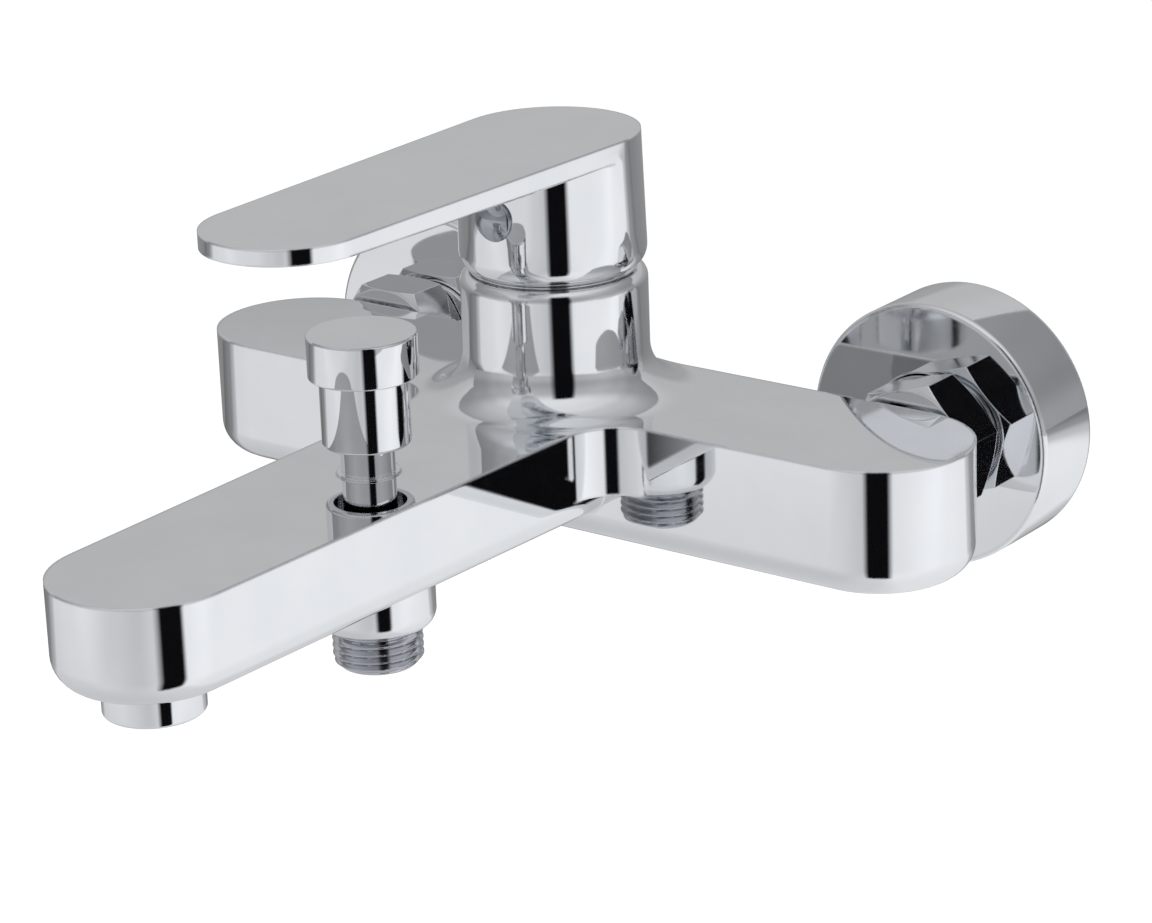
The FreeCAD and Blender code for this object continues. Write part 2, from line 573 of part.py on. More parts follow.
def make_union(side, name):
    """Everything between the wall and one inlet of the bar. Heights run out of the wall."""
    at_wall = {"x": f"{side} * inlet_spacing / 2", "out_of_wall": True}
    at_inlet = {"x": f"{side} * {INLET_X}", "z": "inlet_rise", "out_of_wall": True}

    nipple_end = f"({BAR_BACK} + nipple_depth)"
    turned_body(f"{name}_inlet_nipple", [
        ("nipple_bore", COLLAR_BACK),
        ("nipple_collar_radius", COLLAR_BACK),
        ("nipple_collar_radius", COLLAR_FRONT),
        ("nipple_radius", COLLAR_FRONT),
        ("nipple_radius", nipple_end),
        ("nipple_bore", nipple_end),
    ], **at_inlet)

    turned_body(f"{name}_union_washer",
                tube("nipple_collar_radius - washer_inset", "nipple_bore + washer_bore_gap",
                     WASHER_BACK, COLLAR_BACK), **at_inlet)

    nut = new_body(f"{name}_union_nut", **at_inlet)
    hexagon = new_sketch(nut, "XY", UNION_BACK)
    turn_first = 14.5 if side > 0 else 30
    corners = []
    for corner in range(6):
        angle = math.radians(90 - turn_first + 60 * corner)
        reach = "union_flats / sqrt(3)"
        corners.append((f"{reach} * {math.cos(angle):.6f}", f"{reach} * {math.sin(angle):.6f}"))
    draw_outline(hexagon, corners)
    extrude(nut, hexagon, "union_length")
    thread_wall = "union_thread_radius + thread_gap"
    lip_wall = "nipple_radius + thread_gap"
    bore = new_sketch(nut, "XZ")
    draw_outline(bore, [
        ("0", f"{UNION_BACK} - 1"),
        (thread_wall, f"{UNION_BACK} - 1"),
        (thread_wall, f"{UNION_FRONT} - union_lip"),
        (lip_wall, f"{UNION_FRONT} - union_lip"),
        (lip_wall, f"{UNION_FRONT} + 1"),
        ("0", f"{UNION_FRONT} + 1"),
    ])
    turn(nut, bore, "PartDesign::Groove")
    for end, way in ((UNION_BACK, 1), (UNION_FRONT, -1)):
        corner_cut = new_sketch(nut, "XZ")
        draw_outline(corner_cut, [
            ("union_flats / 2 - chamfer_inset", end),
            ("union_flats / 2 + chamfer_reach", f"{end} + {way} * nut_chamfer"),
            ("union_flats / 2 + chamfer_reach", f"{end} - {way} * 1"),
            ("union_flats / 2 - chamfer_inset", f"{end} - {way} * 1"),
        ])
        turn(nut, corner_cut, "PartDesign::Groove")

    make_eccentric_union(side, name, at_wall)

    hub_radius = "(shank_radius + free_gap)"
    turned_body(f"{name}_wall_flange", [
        ("flange_radius - flange_wall", "0"),
        ("flange_radius", "0"),
        ("flange_radius", "flange_depth"),
        (hub_radius, "flange_depth"),
        (hub_radius, "flange_depth - hub_depth"),
        (f"{hub_radius} + flange_wall", "flange_depth - hub_depth"),
        (f"{hub_radius} + flange_wall", "flange_depth - flange_wall"),
        ("flange_radius - flange_wall", "flange_depth - flange_wall"),
    ], edges=[("flange_radius", "flange_depth", "flange_edge_radius")], **at_wall)
    o_ring(f"{name}_flange_o_ring", "shank_radius + free_gap - ring_section / 2",
           "ring_section / 2 - 0.02", RING_HEIGHT, **at_wall)


def o_ring(label, middle, section, height, **place):
    """A ring of round section, with the radii of its middle line and its section."""
    body = new_body(label, **place)
    sketch = new_sketch(body, "XZ")
    draw_circle(sketch, middle, height, section)
    turn(body, sketch)


def make_eccentric_union(side, name, place):
    """The S-shaped union: G 1/2 into the wall, a round shank, G 3/4 to the union nut."""
    body = new_body(f"{name}_eccentric_union", **place)
    shank = new_sketch(body, "XZ")
    groove = "(shank_radius + free_gap - ring_section)"
    turns = 8
    draw_outline(shank, [
        ("union_bore", "-wall_thread_length - 0.001"),
        *thread_points("wall_thread_radius", "-wall_thread_length", turns),
        ("shank_radius", f"thread_pitch * {turns} - wall_thread_length"),
        ("shank_radius", f"{RING_HEIGHT} - ring_section / 2"),
        (groove, f"{RING_HEIGHT} - ring_section / 2"),
        (groove, f"{RING_HEIGHT} + ring_section / 2"),
        ("shank_radius", f"{RING_HEIGHT} + ring_section / 2"),
        ("shank_radius", f"{UNION_BACK} - 0.2"),
        ("union_bore", f"{UNION_BACK} - 0.2"),
    ])
    turn(body, shank)
    end = new_sketch(body, "XY", "flange_depth + free_gap")
    draw_circle(end, f"{side} * inlet_offset", "inlet_rise", "union_thread_radius")
    extrude(body, end, f"{WASHER_BACK} - flange_depth - free_gap")
    way = new_sketch(body, "XY", "flange_depth - union_cup_depth")
    draw_circle(way, f"{side} * inlet_offset", "inlet_rise", "union_cup")
    extrude(body, way, f"{WASHER_BACK} + union_cup_depth + 1 - flange_depth", "PartDesign::Pocket", reverse=True)


# ---------------------------------------------------------------- cartridge

def make_cartridge():
    at_tower = {"y": "-wall_to_tower"}
    housing = turned_body("cartridge_housing", [
        ("0", BORE_FLOOR),
        ("cartridge_radius", BORE_FLOOR),
        ("cartridge_radius", HOUSING_TOP),
        ("housing_bore", HOUSING_TOP),
        ("housing_bore", f"{BORE_FLOOR} + housing_base"),
        ("0", f"{BORE_FLOOR} + housing_base"),
    ], **at_tower)
    ports = port_places()
    for x, y, radius in ports:
        cut_round(housing, "XY", f"{BORE_FLOOR} + housing_base + 1", x, y, radius, "housing_base + 2")
        cut_round(housing, "XY", f"{BORE_FLOOR} + port_seal_height + port_seal_gap", x, y,
                  f"{radius} + port_seal_width + port_seal_gap", "2 * port_seal_height")

    seals = []
    for index, (x, y, radius) in enumerate(ports):
        outer = doc.addObject("Part::Cylinder", f"seal_outer_{index}")
        inner = doc.addObject("Part::Cylinder", f"seal_inner_{index}")
        bind(outer, "Radius", f"{radius} + port_seal_width")
        bind(inner, "Radius", f"{radius} + port_seal_gap")
        bind(outer, "Height", "port_seal_height")
        bind(inner, "Height", "port_seal_height + 2")
        for cylinder, low in ((outer, f"{BORE_FLOOR}"), (inner, f"{BORE_FLOOR} - 1")):
            bind(cylinder, ".Placement.Base.x", x)
            bind(cylinder, ".Placement.Base.y", f"{y} - wall_to_tower")
            bind(cylinder, ".Placement.Base.z", low)
        seal = doc.addObject("Part::Cut", f"seal_{index}")
        seal.Base, seal.Tool = outer, inner
        seals.append(seal)
    group = doc.addObject("Part::Compound", "cartridge_port_seals")
    group.Label = "cartridge_port_seals"
    group.Links = seals

    fixed = turned_body("fixed_ceramic_disc", [
        ("0", FIXED_DISC),
        ("disc_radius", FIXED_DISC),
        ("disc_radius", f"{FIXED_DISC} + disc_thickness"),
        ("0", f"{FIXED_DISC} + disc_thickness"),
    ], **at_tower)
    for x, y, radius in ports:
        cut_round(fixed, "XY", f"{MOVING_DISC} + 1", x, y, radius, "disc_thickness + 3")

    moving = turned_body("moving_ceramic_disc", [
        ("0", MOVING_DISC),
        ("moving_disc_radius", MOVING_DISC),
        ("moving_disc_radius", f"{MOVING_DISC} + disc_thickness"),
        ("0", f"{MOVING_DISC} + disc_thickness"),
    ], **at_tower)
    channel = new_sketch(moving, "XY", MOVING_DISC)
    draw_capsule(channel, ("0", "-channel_reach", "channel_radius"), ("0", "channel_reach", "channel_radius"))
    extrude(moving, channel, "disc_thickness / 2", "PartDesign::Pocket", reverse=True)

    carrier = turned_body("disc_carrier", [
        ("0", CARRIER),
        ("moving_disc_radius", CARRIER),
        ("moving_disc_radius", f"{CARRIER} + carrier_height"),
        ("0", f"{CARRIER} + carrier_height"),
    ], **at_tower)
    cut_round(carrier, "XY", f"{CARRIER} + carrier_height + 1", "0", "0", "ball_radius + cartridge_gap",
              "carrier_height")

    guide = turned_body("turning_guide", [
        ("0", GUIDE_BOTTOM),
        ("housing_bore - thread_gap", GUIDE_BOTTOM),
        ("housing_bore - thread_gap", f"{HOUSING_TOP} - free_gap"),
        ("guide_neck_radius", f"{HOUSING_TOP} - free_gap"),
        ("guide_neck_radius", "tower_top - 0.5"),
        ("0", "tower_top - 0.5"),
    ], **at_tower)
    half = "(spindle_width / 2 + cartridge_gap)"
    slot = new_sketch(guide, "XY", "tower_top")
    draw_outline(slot, [
        (f"-{half}", "-slot_front"),
        (half, "-slot_front"),
        (half, "slot_back"),
        (f"-{half}", "slot_back"),
    ])
    extrude(guide, slot, f"tower_top - {GUIDE_BOTTOM} + 1", "PartDesign::Pocket")
    pin_cut = new_sketch(guide, "YZ")
    draw_circle(pin_cut, "0", PIVOT_HEIGHT, "pin_radius")
    extrude(guide, pin_cut, "2 * housing_bore + 2", "PartDesign::Pocket", both_ways=True)

    pin = doc.addObject("Part::Cylinder", "spindle_pivot_pin")
    pin.Label = "spindle_pivot_pin"
    bind(pin, "Radius", "pin_radius")
    bind(pin, "Height", "2 * housing_bore - 2")
    pin.Placement = Placement(Vector(), Rotation(Vector(0, 1, 0), 90))
    bind(pin, ".Placement.Base.x", "1 - housing_bore")
    bind(pin, ".Placement.Base.y", "-wall_to_tower")
    bind(pin, ".Placement.Base.z", PIVOT_HEIGHT)

    make_spindle()

    turned_body("cartridge_retaining_nut", tube(NUT_THREAD, "guide_neck_radius + free_gap",
                NUT_BOTTOM, NUT_TOP), **at_tower)
    make_shroud()


def port_places():
    """Hot, cold and mixed ports about the cartridge axis: x, y, radius."""
    across = "(wall_to_tower - wall_to_bar)"
    return [
        ("-port_offset", across, "port_radius"),
        ("port_offset", across, "port_radius"),
        ("0", "-mixed_offset", "(port_radius + 0.5)"),
    ]


def make_spindle():
    """Square spindle on its pivot pin, with a ball at the lower end."""
    body = new_body("cartridge_spindle", y="-wall_to_tower")
    half = "spindle_width / 2"
    shaft = new_sketch(body, "XY", f"{PIVOT_HEIGHT} - spindle_foot")
    draw_outline(shaft, [
        (f"-{half}", f"-{half}"),
        (half, f"-{half}"),
        (half, half),
        (f"-{half}", half),
    ])
    extrude(body, shaft, f"{SPINDLE_TOP} - {PIVOT_HEIGHT} + spindle_foot")
    arm = new_sketch(body, "XZ")
    neck = "sqrt(ball_radius * ball_radius - ball_neck_radius * ball_neck_radius)"
    draw_outline(arm, [
        ("0", f"{BALL_HEIGHT} - ball_radius"),
        ("ball_neck_radius", f"{BALL_HEIGHT} + {neck}", "ball_radius", 1),
        ("ball_neck_radius", f"{PIVOT_HEIGHT} - spindle_foot + 0.4"),
        ("0", f"{PIVOT_HEIGHT} - spindle_foot + 0.4"),
    ])
    turn(body, arm)
    bore = new_sketch(body, "YZ")
    draw_circle(bore, "0", PIVOT_HEIGHT, "pin_radius + thread_gap")
    extrude(body, bore, "spindle_width + 2", "PartDesign::Pocket", both_ways=True)


def make_shroud():
    """The domed shroud over the cartridge nut. Its outside is a sphere about the pivot."""
    inner_reach = f"({TOWER_RADIUS} - lever_wall)"
    rise = f"({CAP_BOTTOM} - {PIVOT_HEIGHT})"
    sphere = f"(sqrt({inner_reach} * {inner_reach} + {rise} * {rise}) - free_gap - stack_gap)"
    inside = f"({sphere} - shroud_wall)"
    low, top = f"(tower_top + stack_gap - {PIVOT_HEIGHT})", f"({SHROUD_TOP} - {PIVOT_HEIGHT})"
    turned_body("cartridge_shroud", [
        (f"sqrt({inside} * {inside} - {low} * {low})", "tower_top + stack_gap"),
        (f"sqrt({sphere} * {sphere} - {low} * {low})", "tower_top + stack_gap"),
        (f"sqrt({sphere} * {sphere} - {top} * {top})", SHROUD_TOP, sphere, 1),
        (f"sqrt({inside} * {inside} - {top} * {top})", SHROUD_TOP),
        (f"sqrt({inside} * {inside} - {low} * {low})", "tower_top + stack_gap", inside, -1),
    ][1:], y="-wall_to_tower")


# ---------------------------------------------------------------- lever

def make_lever():
    body = new_body("lever_handle", y="-wall_to_tower")
    rim_arc = "((rim_depth * rim_depth + lever_rim_height * lever_rim_height) / (2 * rim_depth))"
    cap = new_sketch(body, "XZ")
    draw_outline(cap, [
        ("0", CAP_BOTTOM),
        (f"{TOWER_RADIUS} - rim_depth", CAP_BOTTOM),
        (TOWER_RADIUS, f"{CAP_BOTTOM} + lever_rim_height", rim_arc, 1),
        (CAP_TOP_RADIUS, LEVER_TOP),
        ("0", LEVER_TOP),
    ])
    turn(body, cap)
    plate = new_sketch(body, "XY", f"{LEVER_TOP} - lever_root_thickness")
    draw_capsule(plate, ("0", "0", CAP_TOP_RADIUS), ("0", "-lever_reach", "lever_tip_radius"))
    extrude(body, plate, "lever_root_thickness")
    thin = new_sketch(body, "YZ")
    far = "(lever_reach + lever_tip_radius + 1)"
    under = f"{LEVER_TOP} - lever_root_thickness"
    draw_outline(thin, [
        (f"-{TOWER_RADIUS} - 0.2", f"{under} - 1"),
        (f"-{TOWER_RADIUS} - 0.2", under),
        (f"-{far}", f"{LEVER_TOP} - lever_tip_thickness"),
        (f"-{far}", f"{under} - 1"),
    ])
    extrude(body, thin, f"2 * {TOWER_RADIUS} + 2", "PartDesign::Pocket", both_ways=True)

    cavity = new_sketch(body, "XZ")
    draw_outline(cavity, [
        ("0", f"{CAP_BOTTOM} - 1"),
        (CAVITY_RADIUS, f"{CAP_BOTTOM} - 1"),
        (CAVITY_RADIUS, CAVITY_TOP),
        ("lever_boss_radius", CAVITY_TOP),
        ("lever_boss_radius", LEVER_BOSS),
        ("0", LEVER_BOSS),
    ])
    turn(body, cavity, "PartDesign::Groove")
    socket = new_sketch(body, "XY", LEVER_BOSS)
    half = "(spindle_width / 2 + thread_gap)"
    draw_outline(socket, [
        (f"-{half}", f"-{half}"),
        (half, f"-{half}"),
        (half, half),
        (f"-{half}", half),
    ])
    extrude(body, socket, f"{SPINDLE_TOP} + 0.3 - {LEVER_BOSS}", "PartDesign::Pocket", reverse=True)
    relief = new_sketch(body, "YZ")
    draw_outline(relief, [
        ("-relief_start", f"{CAP_BOTTOM} - 1"),
        (f"{TOWER_RADIUS} + 1", f"{CAP_BOTTOM} - 1"),
        (f"{TOWER_RADIUS} + 1", f"{CAP_BOTTOM} + rear_relief"),
        ("-relief_start", CAP_BOTTOM),
    ])
    extrude(body, relief, f"2 * {TOWER_RADIUS} + 2", "PartDesign::Pocket", both_ways=True)
    cut_round(body, "XZ", "0", "0", PLUG_HEIGHT, "set_screw_radius", f"{TOWER_RADIUS} + 1", True)
    cut_round(body, "XZ", f"{CAVITY_RADIUS} - 1", "0", PLUG_HEIGHT, "plug_radius - plug_neck",
              "lever_wall + 3", True)

    # The set screw and the plug that hides it lie on a line out of the cap's front.
    line = {"y": "-wall_to_tower", "z": PLUG_HEIGHT, "out_of_wall": True}
    turned_body("lever_set_screw", [
        ("0", "spindle_width / 2 + stack_gap"),
        ("set_screw_radius - thread_gap", "spindle_width / 2 + stack_gap"),
        ("set_screw_radius - thread_gap", "spindle_width / 2 + stack_gap + screw_length"),
        ("socket_radius", "spindle_width / 2 + stack_gap + screw_length"),
        ("socket_radius", "spindle_width / 2 + stack_gap + screw_length - socket_depth"),
        ("0", "spindle_width / 2 + stack_gap + screw_length - socket_depth"),
    ], **line)
    face = f"({TOWER_RADIUS} + thread_gap)"
    dome = "((plug_radius * plug_radius + plug_rise * plug_rise) / (2 * plug_rise))"
    turned_body("indicator_plug", [
        ("0", f"{CAVITY_RADIUS} + 0.2"),
        ("plug_radius - plug_neck - thread_gap", f"{CAVITY_RADIUS} + 0.2"),
        ("plug_radius - plug_neck - thread_gap", face),
        ("plug_radius", face),
        ("0", f"{face} + plug_rise", dome, 1),
    ], **line)


# ---------------------------------------------------------------- diverter and outlets

def make_diverter():
    at_diverter = {"y": "-wall_to_diverter"}
    turned_body("diverter_knob", [
        ("rod_radius", "knob_top - knob_head - knob_web"),
        ("knob_skirt_radius - knob_wall", "knob_top - knob_head - knob_web"),
        ("knob_skirt_radius - knob_wall", "knob_bottom"),
        ("knob_skirt_radius", "knob_bottom"),
        ("knob_skirt_radius", "knob_top - knob_head"),
        ("knob_radius", "knob_top - knob_head"),
        ("knob_radius", "knob_top"),
        ("0", "knob_top"),
        ("0", "knob_top - rod_socket"),
        ("rod_radius", "knob_top - rod_socket"),
    ], edges=[("knob_radius", "knob_top", "knob_edge_radius"),
              ("knob_radius", "knob_top - knob_head", "knob_edge_radius"),
              ("knob_skirt_radius", "knob_bottom", "skirt_edge_radius")], **at_diverter)

    collar_top = SPRING_BOTTOM
    turned_body("diverter_rod", [
        ("0", "lower_seat - rod_tail"),
        ("rod_tail_radius", "lower_seat - rod_tail"),
        ("rod_tail_radius", SEAL_TOP),
        ("spring_radius + rod_collar_overhang", SEAL_TOP),
        ("spring_radius + rod_collar_overhang", collar_top),
        ("rod_radius", collar_top),
        ("rod_radius", "knob_top - rod_socket - rod_socket_gap"),
        ("0", "knob_top - rod_socket - rod_socket_gap"),
    ], **at_diverter)
    turned_body("diverter_seal", tube("seal_radius", "rod_tail_radius", SEAL_BOTTOM, SEAL_TOP), **at_diverter)
    turned_body("diverter_seal_nut", tube("seal_nut_radius", "rod_tail_radius",
                                         "lower_seat - seal_nut_height", SEAL_BOTTOM), **at_diverter)

    groove_low = f"{BONNET_BOTTOM} + bonnet_groove_height"
    groove_high = f"{groove_low} + bonnet_groove_width"
    turned_body("diverter_bonnet", [
        ("spring_pocket", BONNET_BOTTOM),
        ("bonnet_radius", BONNET_BOTTOM),
        ("bonnet_radius", groove_low),
        ("bonnet_radius - bonnet_groove_depth", groove_low),
        ("bonnet_radius - bonnet_groove_depth", groove_high),
        ("bonnet_radius", groove_high),
        ("bonnet_radius", "bar_top + bonnet_flange"),
        ("bonnet_neck_radius", "bar_top + bonnet_flange"),
        ("bonnet_neck_radius", "bonnet_neck_top"),
        ("rod_radius + thread_gap", "bonnet_neck_top"),
        ("rod_radius + thread_gap", SPRING_TOP),
        ("spring_pocket", SPRING_TOP),
    ], edges=[("bonnet_neck_radius", "bonnet_neck_top", "bonnet_edge_radius")], **at_diverter)
    o_ring("bonnet_o_ring", "bonnet_radius - bonnet_ring_section - 0.01", "bonnet_ring_section",
           f"{groove_low} + bonnet_groove_width / 2", **at_diverter)
    make_spring()

    thread_end = "(boss_bottom + outlet_length)"
    root = "wall_thread_radius - thread_depth"
    turned_body("shower_outlet_nipple", [
        ("outlet_bore", f"-{thread_end}"),
        (f"{root}", f"-{thread_end}"),
        *thread_points("wall_thread_radius", f"-{thread_end} + 0.7", 4),
        (root, f"-{thread_end} + thread_pitch * 4 + 1.3"),
        (root, "-boss_bottom + outlet_screwed"),
        ("outlet_bore", "-boss_bottom + outlet_screwed"),
    ], **at_diverter)


def make_spring():
    """The coil that pushes the diverter down, from the rod's collar to the bonnet."""
    low, high = number(SPRING_BOTTOM), number(SPRING_TOP)
    wire = number("spring_wire")
    radius, pitch = number("spring_radius"), number("spring_pitch")
    margin = wire + 0.05
    helix = Part.makeHelix(pitch, high - low - 2 * margin, radius)
    start = helix.Edges[0].valueAt(helix.Edges[0].FirstParameter)
    direction = helix.Edges[0].tangentAt(helix.Edges[0].FirstParameter)
    section = Part.Wire(Part.makeCircle(wire, start, direction))
    coil = Part.Wire(helix.Edges).makePipeShell([section], True, True)
    spring = doc.addObject("Part::Feature", "diverter_spring")
    spring.Label = "diverter_spring"
    spring.Shape = coil
    spring.Placement = Placement(Vector(0, -number("wall_to_diverter"), low + margin), Rotation())


def make_aerator():
    at_end = {"y": "-wall_to_spout_end"}
    bore = "(aerator_radius - aerator_wall)"
    turned_body("aerator_housing", [
        (f"{bore} - aerator_lip", AERATOR_BOTTOM),
        ("aerator_radius", AERATOR_BOTTOM),
        ("aerator_radius", AERATOR_TOP),
        (bore, AERATOR_TOP),
        (bore, f"{AERATOR_BOTTOM} + aerator_lip_height"),
        (f"{bore} - aerator_lip", f"{AERATOR_BOTTOM} + aerator_lip_height"),
    ], edges=[("aerator_radius", AERATOR_BOTTOM, "aerator_edge_radius")], **at_end)
    insert = turned_body("aerator_insert", [
        ("0", GRID_BOTTOM),
        (f"{bore} - thread_gap", GRID_BOTTOM),
        (f"{bore} - thread_gap", AERATOR_TOP),
        (f"{bore} - insert_wall", AERATOR_TOP),
        (f"{bore} - insert_wall", f"{GRID_BOTTOM} + insert_floor"),
        ("0", f"{GRID_BOTTOM} + insert_floor"),
    ], **at_end)
    holes = new_sketch(insert, "XY", AERATOR_BOTTOM)
    draw_circle(holes, "0", "0", "jet_radius")
    for count, reach in ((6, 2.6), (12, 5.2), (18, 7.4)):
        for step in range(count):
            angle = 2 * math.pi * step / count
            draw_circle(holes, f"{reach * math.cos(angle):.4f}", f"{reach * math.sin(angle):.4f}", "jet_radius")
    extrude(insert, holes, "5", "PartDesign::Pocket", reverse=True)
    turned_body("aerator_washer", tube("aerator_radius - 0.1", f"{bore} - insert_wall", AERATOR_TOP,
                                       f"{AERATOR_TOP} + aerator_washer_height"), **at_end)


def export_all():
    """Check every object, then write each sub-part's shape under its label."""
    failed = [o.Label for o in doc.Objects if {"Invalid", "Error"} & set(o.State)]
    if failed:
        raise RuntimeError("failed objects: " + ", ".join(failed))
    os.makedirs("parts", exist_ok=True)
    bodies = [o for o in doc.Objects if o.isDerivedFrom("PartDesign::Body")]
    bodies += [doc.getObject(name) for name in ("cartridge_port_seals", "spindle_pivot_pin", "diverter_spring")]
    for piece in bodies:
        shape = piece.Shape
        if shape.isNull() or not shape.isValid() or shape.Volume <= 0:
            raise RuntimeError(f"{piece.Label}: bad shape")
        shape.exportStep(f"parts/{piece.Label}.step")


make_faucet_body()
for side, name in ((-1, "left"), (1, "right")):
    make_union(side, name)
make_cartridge()
make_lever()
make_diverter()
make_aerator()
doc.recompute()
export_all()
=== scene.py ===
import json
import math

import bpy
import numpy as np
from mathutils import Matrix, Vector


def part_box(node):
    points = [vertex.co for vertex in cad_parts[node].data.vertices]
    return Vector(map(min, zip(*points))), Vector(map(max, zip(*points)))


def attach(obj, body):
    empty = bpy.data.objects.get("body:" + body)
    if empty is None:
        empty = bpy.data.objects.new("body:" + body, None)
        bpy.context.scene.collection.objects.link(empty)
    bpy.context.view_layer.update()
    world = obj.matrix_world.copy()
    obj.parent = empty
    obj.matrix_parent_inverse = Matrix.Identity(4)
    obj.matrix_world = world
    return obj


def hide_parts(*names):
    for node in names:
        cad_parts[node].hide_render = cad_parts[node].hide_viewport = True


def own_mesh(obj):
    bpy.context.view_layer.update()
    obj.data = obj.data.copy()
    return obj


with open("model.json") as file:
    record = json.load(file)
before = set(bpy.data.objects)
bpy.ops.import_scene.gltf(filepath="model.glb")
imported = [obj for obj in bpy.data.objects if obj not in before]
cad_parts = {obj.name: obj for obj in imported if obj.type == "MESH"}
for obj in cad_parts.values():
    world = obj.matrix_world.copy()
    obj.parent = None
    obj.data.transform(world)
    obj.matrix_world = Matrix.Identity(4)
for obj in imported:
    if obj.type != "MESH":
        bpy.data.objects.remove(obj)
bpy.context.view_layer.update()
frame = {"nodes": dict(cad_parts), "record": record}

MM = 0.001


# ---------------------------------------------------------------- materials

def new_material(name):
    material = bpy.data.materials.new(name)
    material.use_nodes = True
    tree = material.node_tree
    shader = tree.nodes["Principled BSDF"]
    place = tree.nodes.new("ShaderNodeTexCoord").outputs["Object"]
    return material, tree, shader, place


def noise(tree, place, scale, detail=3.0, rough=0.55):
    """A noise texture with features of about 1 / scale metres."""
    node = tree.nodes.new("ShaderNodeTexNoise")
    node.inputs["Scale"].default_value = scale
    node.inputs["Detail"].default_value = detail
    node.inputs["Roughness"].default_value = rough
    tree.links.new(place, node.inputs["Vector"])
    return node.outputs["Fac"]


def between(tree, value, low, high, start=0.3, end=0.7):
    """The value's start-to-end range as a number from low to high."""
    node = tree.nodes.new("ShaderNodeMapRange")
    node.inputs["From Min"].default_value = start
    node.inputs["From Max"].default_value = end
    node.inputs["To Min"].default_value = low
    node.inputs["To Max"].default_value = high
    tree.links.new(value, node.inputs["Value"])
    return node.outputs["Result"]


def tint(tree, value, dark, light):
    """The value, from 0.3 to 0.7, as a colour between two."""
    node = tree.nodes.new("ShaderNodeValToRGB")
    first, last = node.color_ramp.elements
    first.position, first.color = 0.3, (*dark, 1)
    last.position, last.color = 0.7, (*light, 1)
    tree.links.new(value, node.inputs["Fac"])
    return node.outputs["Color"]


def bumped(tree, shader, height, strength, distance, edge=0.0):
    node = tree.nodes.new("ShaderNodeBump")
    if edge:
        soft = tree.nodes.new("ShaderNodeBevel")
        soft.samples = 6
        soft.inputs["Radius"].default_value = edge
        tree.links.new(soft.outputs["Normal"], node.inputs["Normal"])
    node.inputs["Strength"].default_value = strength
    node.inputs["Distance"].default_value = distance
    tree.links.new(height, node.inputs["Height"])
    tree.links.new(node.outputs["Normal"], shader.inputs["Normal"])


WAVE_HEIGHT = 0.04 * MM


def plated(name, dark, light, rough, wave, edge=0.4 * MM):
    """Chrome plate: faint clouds in colour and gloss, and the slight waves of a polished casting."""
    material, tree, shader, place = new_material(name)
    shader.inputs["Metallic"].default_value = 1.0
    cloud = noise(tree, place, 55)
    tree.links.new(tint(tree, cloud, dark, light), shader.inputs["Base Color"])
    smudge = noise(tree, place, 320, 5)
    tree.links.new(between(tree, smudge, rough[0], rough[1]), shader.inputs["Roughness"])
    bumped(tree, shader, noise(tree, place, 70, 1), wave, WAVE_HEIGHT, edge)
    return material


def machined(name, dark, light, rough, axis):
    """Turned metal, with the fine rings that the tool leaves across its axis."""
    material, tree, shader, place = new_material(name)
    shader.inputs["Metallic"].default_value = 1.0
    tree.links.new(tint(tree, noise(tree, place, 420, 4), dark, light), shader.inputs["Base Color"])
    stretch = tree.nodes.new("ShaderNodeMapping")
    stretch.inputs["Scale"].default_value = [9000 if i == axis else 60 for i in range(3)]
    tree.links.new(place, stretch.inputs["Vector"])
    rings = noise(tree, stretch.outputs["Vector"], 1, 2)
    tree.links.new(between(tree, rings, rough[0], rough[1]), shader.inputs["Roughness"])
    bumped(tree, shader, rings, 0.12, 0.05 * MM)
    return material


def moulded(name, dark, light, rough, grain, strength, specular=0.5):
    """Plastic, rubber or ceramic with a fine moulded grain."""
    material, tree, shader, place = new_material(name)
    shader.inputs["Specular IOR Level"].default_value = specular
    tree.links.new(tint(tree, noise(tree, place, 180, 4), dark, light), shader.inputs["Base Color"])
    tree.links.new(between(tree, noise(tree, place, 600, 3), rough[0], rough[1]), shader.inputs["Roughness"])
    bumped(tree, shader, noise(tree, place, grain, 2), strength, 0.1 * MM)
    return material


